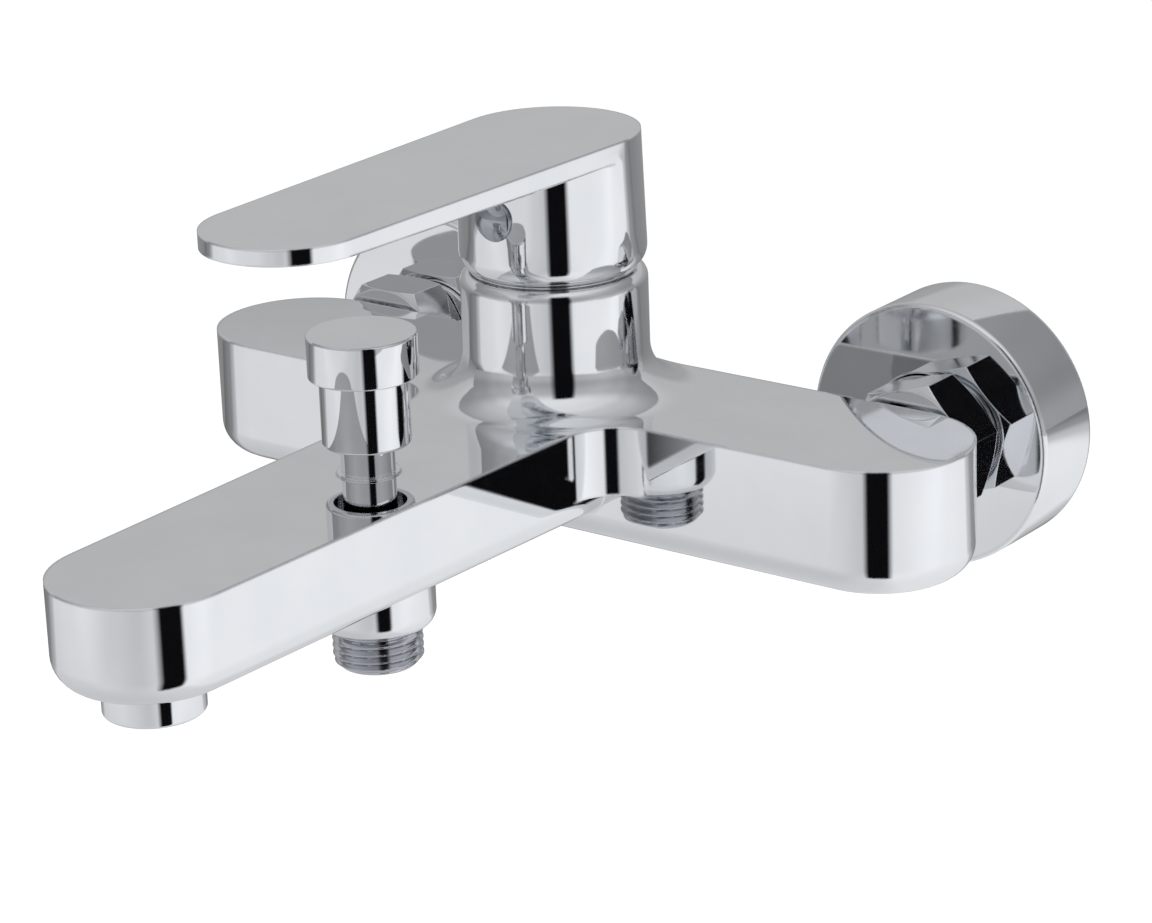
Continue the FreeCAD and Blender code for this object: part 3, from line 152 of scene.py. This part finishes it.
PALE_CHROME = ((0.80, 0.81, 0.825), (0.84, 0.848, 0.86))
DEEP_CHROME = ((0.70, 0.71, 0.73), (0.78, 0.79, 0.81))
# Darker chrome for the indicator plug: painted shade, a base colour darkened to stand in for the dark
# reflections the polished dome shows.
PLUG_PAINTED_SHADE = ((0.34, 0.36, 0.39), (0.44, 0.46, 0.49))
THREAD_CHROME = ((0.50, 0.51, 0.54), (0.62, 0.63, 0.66))
BRASS = ((0.60, 0.43, 0.19), (0.72, 0.54, 0.27))
STEEL = ((0.50, 0.51, 0.52), (0.62, 0.63, 0.64))
ACETAL = ((0.58, 0.60, 0.61), (0.68, 0.70, 0.71))
GRID_PLASTIC = ((0.62, 0.64, 0.66), (0.74, 0.76, 0.78))
CERAMIC = ((0.82, 0.80, 0.76), (0.90, 0.885, 0.85))
RUBBER = ((0.012, 0.012, 0.013), (0.03, 0.03, 0.032))
FINISH = {
    "body_chrome": plated("body_chrome", *PALE_CHROME, (0.018, 0.035), 0.10, 1.1 * MM),
    "lever_chrome": plated("lever_chrome", *PALE_CHROME, (0.018, 0.035), 0.08, 0.8 * MM),
    "flange_chrome": plated("flange_chrome", *PALE_CHROME, (0.03, 0.06), 0.14, 0.8 * MM),
    "nut_chrome": plated("nut_chrome", *PALE_CHROME, (0.03, 0.07), 0.16),
    "trim_chrome": plated("trim_chrome", *PALE_CHROME, (0.02, 0.04), 0.08),
    "union_chrome": plated("union_chrome", *DEEP_CHROME, (0.06, 0.14), 0.2),
    # The indicator plug's chrome, with painted shade in its darker base colour.
    "plug_painted_shade_chrome": plated("plug_painted_shade_chrome", *PLUG_PAINTED_SHADE, (0.03, 0.06), 0.08),
    "thread_chrome": plated("thread_chrome", *THREAD_CHROME, (0.10, 0.2), 0.2, 0.0),
    "nut_brass": machined("nut_brass", *BRASS, (0.18, 0.34), 2),
    "steel": machined("steel", *STEEL, (0.16, 0.32), 2),
    "cartridge_plastic": moulded("cartridge_plastic", *ACETAL, (0.42, 0.58), 900, 0.25),
    "aerator_plastic": moulded("aerator_plastic", *GRID_PLASTIC, (0.34, 0.5), 1100, 0.2),
    "ceramic": moulded("ceramic", *CERAMIC, (0.12, 0.2), 1500, 0.08),
    "seal_rubber": moulded("seal_rubber", *RUBBER, (0.5, 0.7), 1400, 0.3, 0.35),
}


# ---------------------------------------------------------------- true normals for the CAD shapes

SMOOTH_LIMIT = math.cos(math.radians(38))
FLAT_LIMIT = math.cos(math.radians(0.7))
FLAT_SHARE = 2.5
SAME_POINT = 1e-8
NO_AREA = 1e-14
TINY = 1e-30


def polished(node, slot):
    """A copy of a CAD node whose normals follow the true surface: flat faces are exactly flat,
    and a rounding takes the flat face's normal where it runs into it."""
    source = frame["nodes"][node]
    points = np.empty(len(source.data.vertices) * 3)
    source.data.vertices.foreach_get("co", points)
    points = points.reshape(-1, 3)
    corners = np.empty(len(source.data.loops), np.int64)
    source.data.loops.foreach_get("vertex_index", corners)
    corners = corners.reshape(-1, 3)
    _, first, same = np.unique(np.round(points / SAME_POINT).astype(np.int64), axis=0,
                               return_index=True, return_inverse=True)
    same = same.reshape(-1)
    points, corners = points[first], same[corners]
    start, middle, end = (points[corners[:, i]] for i in range(3))
    cross = np.cross(middle - start, end - start)
    twice = np.linalg.norm(cross, axis=1)
    good = twice > NO_AREA
    corners, cross, twice = corners[good], cross[good], twice[good]
    normals, areas = cross / twice[:, None], twice / 2

    beside = {}
    for face, ring in enumerate(corners.tolist()):
        for i in range(3):
            a, b = ring[i], ring[(i + 1) % 3]
            beside.setdefault((a, b) if a < b else (b, a), []).append(face)
    root = list(range(len(corners)))

    def find(face):
        while root[face] != face:
            root[face] = root[root[face]]
            face = root[face]
        return face

    smooth_pairs = []
    for faces in beside.values():
        if len(faces) == 2:
            cosine = float(normals[faces[0]] @ normals[faces[1]])
            if cosine > FLAT_LIMIT:
                root[find(faces[0])] = find(faces[1])
            if cosine > SMOOTH_LIMIT:
                smooth_pairs.append(faces)
    region = np.array([find(face) for face in range(len(corners))])
    size = np.bincount(region, weights=areas, minlength=len(corners))
    rival = np.zeros(len(corners))
    for a, b in smooth_pairs:
        ra, rb = region[a], region[b]
        if ra != rb:
            rival[ra] = max(rival[ra], size[rb])
            rival[rb] = max(rival[rb], size[ra])
    flat = (size > FLAT_SHARE * rival)

    smooth_at = {}
    for a, b in smooth_pairs:
        for vertex in set(corners[a].tolist()) & set(corners[b].tolist()):
            smooth_at.setdefault(vertex, []).append((a, b))
    angle = np.zeros_like(corners, dtype=float)
    for i in range(3):
        here = points[corners[:, i]]
        one, two = points[corners[:, (i + 1) % 3]] - here, points[corners[:, (i + 2) % 3]] - here
        cosine = (one * two).sum(1) / (np.linalg.norm(one, axis=1) * np.linalg.norm(two, axis=1) + TINY)
        angle[:, i] = np.arccos(np.clip(cosine, -1, 1))
    around = {}
    for face, ring in enumerate(corners.tolist()):
        for i, vertex in enumerate(ring):
            around.setdefault(vertex, []).append((face, i))
    result = np.repeat(normals[:, None, :], 3, axis=1)
    for vertex, fan in around.items():
        group = {face: face for face, _ in fan}

        def top(face):
            while group[face] != face:
                face = group[face]
            return face

        for a, b in smooth_at.get(vertex, ()):
            group[top(a)] = top(b)
        sums, flats = {}, {}
        for face, i in fan:
            key = top(face)
            sums[key] = sums.get(key, 0) + normals[face] * angle[face, i]
            if flat[region[face]]:
                known = flats.get(key)
                if known is None or size[region[face]] > known[0]:
                    flats[key] = (size[region[face]], normals[face])
        for face, i in fan:
            key = top(face)
            if flat[region[face]]:
                result[face, i] = normals[face]
            elif key in flats and flats[key][1] @ normals[face] > SMOOTH_LIMIT:
                result[face, i] = flats[key][1]
            else:
                total = sums[key]
                result[face, i] = total / (np.linalg.norm(total) + TINY)
    mesh = bpy.data.meshes.new(node + "_shape")
    mesh.from_pydata(points.tolist(), [], corners.tolist())
    mesh.polygons.foreach_set("use_smooth", [True] * len(corners))
    mesh.normals_split_custom_set(result.reshape(-1, 3).tolist())
    piece = bpy.data.objects.new(node + "_polished", mesh)
    bpy.context.scene.collection.objects.link(piece)
    settle(piece, slot, body_of(node), node)


def body_of(node):
    return next(b for b, members in frame["record"]["behaviour"]["bodies"].items() if node in members)


# The indicator plug takes the chrome with painted shade in its darker base colour; the nipple takes the
# thread chrome.
OWN_FINISH = {"indicator_plug": "plug_painted_shade_chrome", "shower_outlet_nipple": "thread_chrome"}


def settle(piece, slot, body, node):
    """Finish a piece: its material, its slot, the body it rides on and the CAD node it stands for."""
    piece.data.materials.clear()
    piece.data.materials.append(FINISH[OWN_FINISH.get(node, slot)])
    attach(piece, body)
    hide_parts(node)


REBUILT = ("shower_outlet_nipple", "diverter_spring")
POLISHED = {
    "faucet_body": "body_chrome",
    "lever_handle": "lever_chrome",
    "indicator_plug": "trim_chrome",
    "diverter_knob": "trim_chrome",
    "diverter_bonnet": "trim_chrome",
    "cartridge_shroud": "trim_chrome",
    "aerator_housing": "trim_chrome",
    "left_wall_flange": "flange_chrome",
    "right_wall_flange": "flange_chrome",
    "left_union_nut": "nut_chrome",
    "right_union_nut": "nut_chrome",
    "left_eccentric_union": "union_chrome",
    "right_eccentric_union": "union_chrome",
}
for node, slot in POLISHED.items():
    polished(node, slot)


# ---------------------------------------------------------------- cut threads

AROUND = 120
PITCH = 1.814 * MM
THREAD_DEPTH = 1.16 * MM
THREAD_LENGTH = 9.1 * MM
NIPPLE_BORE = 7.5 * MM
BORE_EDGE = 0.45 * MM
LEAD_IN = 0.5 * MM


def thread_rows(root, crest, start, end, per_turn=14):
    """Rows of a right-hand V thread from start to end: a height and its radii around the axis."""
    rows, count = [], round((end - start) / PITCH * per_turn)
    for step in range(count + 1):
        height = start + (end - start) * step / count
        run_in = min(1, (height - start) / (0.7 * PITCH), (end - height) / (0.9 * PITCH))
        radii = []
        for turn_step in range(AROUND):
            phase = (height / PITCH - turn_step / AROUND) % 1
            wave = min(1, max(0, 1.16 * (1 - abs(2 * phase - 1)) - 0.04))
            radii.append(root + (crest - root) * wave * max(0, run_in) ** 0.5)
        rows.append((height, radii))
    return rows


def ring_piece(name, rows, centre, slot, body, node):
    """A closed tube through rows of (height, radius or radii) about a vertical axis."""
    points, faces = [], []
    for height, radius in rows:
        for step in range(AROUND):
            angle = 2 * math.pi * step / AROUND
            r = radius[step] if isinstance(radius, list) else radius
            points.append((centre[0] + r * math.cos(angle), centre[1] + r * math.sin(angle), height))
    for row in range(len(rows)):
        low, high = row * AROUND, (row + 1) % len(rows) * AROUND
        for step in range(AROUND):
            after = (step + 1) % AROUND
            faces.append((low + step, low + after, high + after, high + step))
    mesh = bpy.data.meshes.new(name + "_shape")
    mesh.from_pydata(points, [], faces)
    mesh.polygons.foreach_set("use_smooth", [True] * len(faces))
    mesh.set_sharp_from_angle(angle=math.radians(50))
    piece = bpy.data.objects.new(name, mesh)
    bpy.context.scene.collection.objects.link(piece)
    settle(piece, slot, body, node)


def outlet_nipple():
    low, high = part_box("shower_outlet_nipple")
    centre = ((low.x + high.x) / 2, (low.y + high.y) / 2)
    crest = (high.x - low.x) / 2 - 0.01 * MM
    root = crest - THREAD_DEPTH
    boss = low.z + THREAD_LENGTH
    rows = [(high.z, NIPPLE_BORE), (low.z + BORE_EDGE, NIPPLE_BORE), (low.z, NIPPLE_BORE + BORE_EDGE),
            (low.z, root - LEAD_IN), (low.z + LEAD_IN, root)]
    rows += thread_rows(root, crest, low.z + LEAD_IN + 0.05 * MM, boss - 0.1 * MM)
    rows += [(boss, root), (high.z, root)]
    ring_piece("outlet_nipple_cut_thread", rows, centre, "trim_chrome", "root", "shower_outlet_nipple")


outlet_nipple()


# ---------------------------------------------------------------- the spring


def spring():
    """The CAD's coil again, as a copy with a mesh of its own."""
    piece = bpy.data.objects.new("diverter_spring_coil", frame["nodes"]["diverter_spring"].data.copy())
    bpy.context.scene.collection.objects.link(piece)
    settle(piece, "steel", "root", "diverter_spring")
    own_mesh(piece)


spring()


# ---------------------------------------------------------------- the nodes that stay as CAD

for part in frame["record"]["subparts"]:
    if part["node"] not in POLISHED and part["node"] not in REBUILT:
        materials = frame["nodes"][part["node"]].data.materials
        materials.clear()
        materials.append(FINISH[part["material_slot"]])


# ---------------------------------------------------------------- studio

TO_CAMERA = Vector((0.610, -0.792, 0)).normalized()
ACROSS = Vector((0.792, 0.610, 0)).normalized()
UP = Vector((0, 0, 1))
FLOOR_HEIGHT = -0.26


def card(name, centre, along, up, width, height):
    """A flat card that only mirrors and gloss can see."""
    mesh = bpy.data.meshes.new(name)
    half_w, half_h = along * width / 2, up * height / 2
    signs = ((-1, -1), (1, -1), (1, 1), (-1, 1))
    mesh.from_pydata([tuple(centre + half_w * w + half_h * h) for w, h in signs], [], [(0, 1, 2, 3)])
    item = bpy.data.objects.new(name, mesh)
    bpy.context.scene.collection.objects.link(item)
    item.visible_camera = item.visible_diffuse = item.visible_shadow = False
    item.visible_transmission = item.visible_volume_scatter = False
    return item


def dotted(tree, place, line):
    """How far the place is along a line, as a share of it."""
    node = tree.nodes.new("ShaderNodeVectorMath")
    node.operation = "DOT_PRODUCT"
    node.inputs[1].default_value = line
    tree.links.new(place, node.inputs[0])
    return node.outputs["Value"]


def greys(tree, share, stops):
    """A ramp of greys over a share from 0 to 1."""
    node = tree.nodes.new("ShaderNodeValToRGB")
    ramp = node.color_ramp
    ramp.interpolation = "EASE"
    ramp.elements.remove(ramp.elements[1])
    for index, (at, grey) in enumerate(stops):
        stop = ramp.elements[0] if index == 0 else ramp.elements.new(at)
        stop.position = at
        stop.color = (grey * 0.993, grey, grey * 1.012, 1)
    tree.links.new(share, node.inputs["Fac"])
    return node.outputs["Color"]


def times(tree, one, two):
    node = tree.nodes.new("ShaderNodeVectorMath")
    node.operation = "MULTIPLY"
    tree.links.new(one, node.inputs[0])
    tree.links.new(two, node.inputs[1])
    return node.outputs["Vector"]


def bare_material(name):
    """A material with no shader yet, and where a point lies on the stage."""
    material = bpy.data.materials.new(name)
    material.use_nodes = True
    tree = material.node_tree
    tree.nodes.clear()
    return material, tree, tree.nodes.new("ShaderNodeNewGeometry").outputs["Position"]


def sweep(name, *lines):
    """A glow whose grey follows one or two lines across the stage: (stops, start, end) each."""
    material, tree, place = bare_material(name)
    colour = None
    for stops, start, end in lines:
        line = end - start
        offset = start.dot(line) / line.length_squared
        share = between(tree, dotted(tree, place, line / line.length_squared), 0, 1, offset, offset + 1)
        shade = greys(tree, share, stops)
        colour = times(tree, colour, shade) if colour else shade
    light = tree.nodes.new("ShaderNodeEmission")
    tree.links.new(colour, light.inputs["Color"])
    out = tree.nodes.new("ShaderNodeOutputMaterial")
    tree.links.new(light.outputs["Emission"], out.inputs["Surface"])
    return material


def slit_black(middle, full, end):
    """Black that fades out towards both sides of the slit."""
    material, tree, place = bare_material("slit_black")
    away = tree.nodes.new("ShaderNodeMath")
    away.operation = "SUBTRACT"
    away.inputs[1].default_value = middle.dot(ACROSS)
    tree.links.new(dotted(tree, place, ACROSS), away.inputs[0])
    size = tree.nodes.new("ShaderNodeMath")
    size.operation = "ABSOLUTE"
    tree.links.new(away.outputs[0], size.inputs[0])
    black = tree.nodes.new("ShaderNodeEmission")
    black.inputs["Color"].default_value = (0.004, 0.004, 0.005, 1)
    clear = tree.nodes.new("ShaderNodeBsdfTransparent")
    mix = tree.nodes.new("ShaderNodeMixShader")
    tree.links.new(between(tree, size.outputs[0], 1, 0, full, end), mix.inputs["Fac"])
    tree.links.new(clear.outputs["BSDF"], mix.inputs[1])
    tree.links.new(black.outputs["Emission"], mix.inputs[2])
    out = tree.nodes.new("ShaderNodeOutputMaterial")
    tree.links.new(mix.outputs["Shader"], out.inputs["Surface"])
    return material


SLIT_TOP = 0.36
SLIT_WIDTH = 0.18
SLIT_FULL, SLIT_END = 0.054, 0.086
SLIT_PLACE = TO_CAMERA * 0.367 + ACROSS * -0.004
slit = card("camera_slit", SLIT_PLACE + UP * (SLIT_TOP + FLOOR_HEIGHT) / 2, ACROSS, UP,
            SLIT_WIDTH, SLIT_TOP - FLOOR_HEIGHT)
slit.data.materials.append(slit_black(SLIT_PLACE, SLIT_FULL, SLIT_END))

back = card("grey_backdrop", TO_CAMERA * -0.6 + UP * 0.17, ACROSS, UP, 3.2, 0.86)
BACK_GREYS = [(0, 0.26), (0.45, 0.40), (0.6, 0.53), (1, 0.60)]
back.data.materials.append(sweep("backdrop_grey", (BACK_GREYS, UP * FLOOR_HEIGHT, UP * 0.6)))

TABLE_GAP = 0.004
TABLE_SIZE = 5
table = card("table_card", UP * (FLOOR_HEIGHT + TABLE_GAP), ACROSS, TO_CAMERA, TABLE_SIZE, TABLE_SIZE)
DEPTH_GREYS = [(0, 0.20), (0.14, 0.30), (0.21, 0.55), (0.26, 0.86), (0.48, 0.90), (0.62, 0.96),
               (0.84, 0.88), (1, 0.86)]
SIDE_GREYS = [(0, 0.90), (0.2, 0.78), (0.38, 0.70), (0.5, 0.80), (0.56, 0.98), (0.9, 1.08)]
table.data.materials.append(sweep("table_light", (DEPTH_GREYS, TO_CAMERA * -0.6, TO_CAMERA * 1.0),
                                  (SIDE_GREYS, ACROSS * -0.8, ACROSS * 0.8)))

FLOOR_REACH = 9.0
floor_mesh = bpy.data.meshes.new("floor")
floor_mesh.from_pydata([(x * FLOOR_REACH, y * FLOOR_REACH, FLOOR_HEIGHT)
                        for x, y in ((-1, -1), (1, -1), (1, 1), (-1, 1))], [], [(0, 1, 2, 3)])
floor = bpy.data.objects.new("floor", floor_mesh)
bpy.context.scene.collection.objects.link(floor)
floor.visible_glossy = False
material, tree, shader, place = new_material("pale_floor")
shader.inputs["Base Color"].default_value = (0.86, 0.86, 0.86, 1)
shader.inputs["Roughness"].default_value = 0.9
shader.inputs["Specular IOR Level"].default_value = 0.1
shader.inputs["Emission Color"].default_value = (1, 1, 1, 1)
shader.inputs["Emission Strength"].default_value = 0.50
floor_mesh.materials.append(material)

HEIGHT_STOPS = [(0.0, 0.92), (0.5, 0.80), (0.62, 0.62), (0.78, 0.75), (0.92, 1.25), (1.0, 1.35)]
FACING_STOPS = [(0, 0.75), (0.22, 0.66), (0.42, 0.78), (0.60, 1.0), (0.78, 1.15), (1, 1.0)]
world = bpy.data.worlds.new("studio")
bpy.context.scene.world = world
world.use_nodes = True
tree = world.node_tree
background = tree.nodes["Background"]
direction = tree.nodes.new("ShaderNodeTexCoord").outputs["Generated"]
height_share = between(tree, dotted(tree, direction, UP), 0, 1, -1, 1)
facing_share = between(tree, dotted(tree, direction, TO_CAMERA), 0, 1, -1, 1)
colour = times(tree, greys(tree, height_share, HEIGHT_STOPS), greys(tree, facing_share, FACING_STOPS))
tree.links.new(colour, background.inputs["Color"])
background.inputs["Strength"].default_value = 0.60
pale = tree.nodes.new("ShaderNodeBackground")
pale.inputs["Color"].default_value = (0.94, 0.94, 0.945, 1)
seen = tree.nodes.new("ShaderNodeMixShader")
tree.links.new(tree.nodes.new("ShaderNodeLightPath").outputs["Is Camera Ray"], seen.inputs["Fac"])
tree.links.new(background.outputs["Background"], seen.inputs[1])
tree.links.new(pale.outputs["Background"], seen.inputs[2])
tree.links.new(seen.outputs["Shader"], tree.nodes["World Output"].inputs["Surface"])


def soft_light(name, place, aim, size, power):
    lamp = bpy.data.lights.new(name, "AREA")
    lamp.shape = "RECTANGLE"
    lamp.size, lamp.size_y = size
    lamp.energy = power
    item = bpy.data.objects.new(name, lamp)
    item.location = place
    item.visible_glossy = False
    item.rotation_euler = (Vector(aim) - Vector(place)).to_track_quat("-Z", "Y").to_euler()
    bpy.context.scene.collection.objects.link(item)


soft_light("key", (-0.9, -1.3, 1.7), (0, -0.1, 0), (1.6, 1.6), 10)
soft_light("fill", (1.6, -0.2, 1.2), (0, -0.1, 0), (1.4, 1.4), 5)


# ---------------------------------------------------------------- camera

SENSOR = 36
FOCAL_LENGTH = 3826 / 1152 * SENSOR
CAMERA_PLACE = Vector((0.5338, -0.7545, 0.3008))
CAMERA_BACK = Vector((0.575, -0.747, 0.333)).normalized()
CAMERA_ROLL = math.radians(-2.07)
camera_data = bpy.data.cameras.new("camera")
camera_data.sensor_width = SENSOR
camera_data.lens = FOCAL_LENGTH
camera_data.clip_start = 0.05
camera = bpy.data.objects.new("camera", camera_data)
bpy.context.scene.collection.objects.link(camera)
right = (-CAMERA_BACK).cross(UP).normalized()
top_way = right.cross(-CAMERA_BACK).normalized()
camera_x = right * math.cos(CAMERA_ROLL) + top_way * math.sin(CAMERA_ROLL)
camera_y = -right * math.sin(CAMERA_ROLL) + top_way * math.cos(CAMERA_ROLL)
turn = Matrix((camera_x, camera_y, CAMERA_BACK)).transposed().to_4x4()
camera.matrix_world = Matrix.Translation(CAMERA_PLACE) @ turn
bpy.context.scene.camera = camera
bpy.context.scene.view_settings.view_transform = "Standard"
bpy.context.scene.cycles.max_bounces = 16
bpy.context.scene.cycles.glossy_bounces = 10
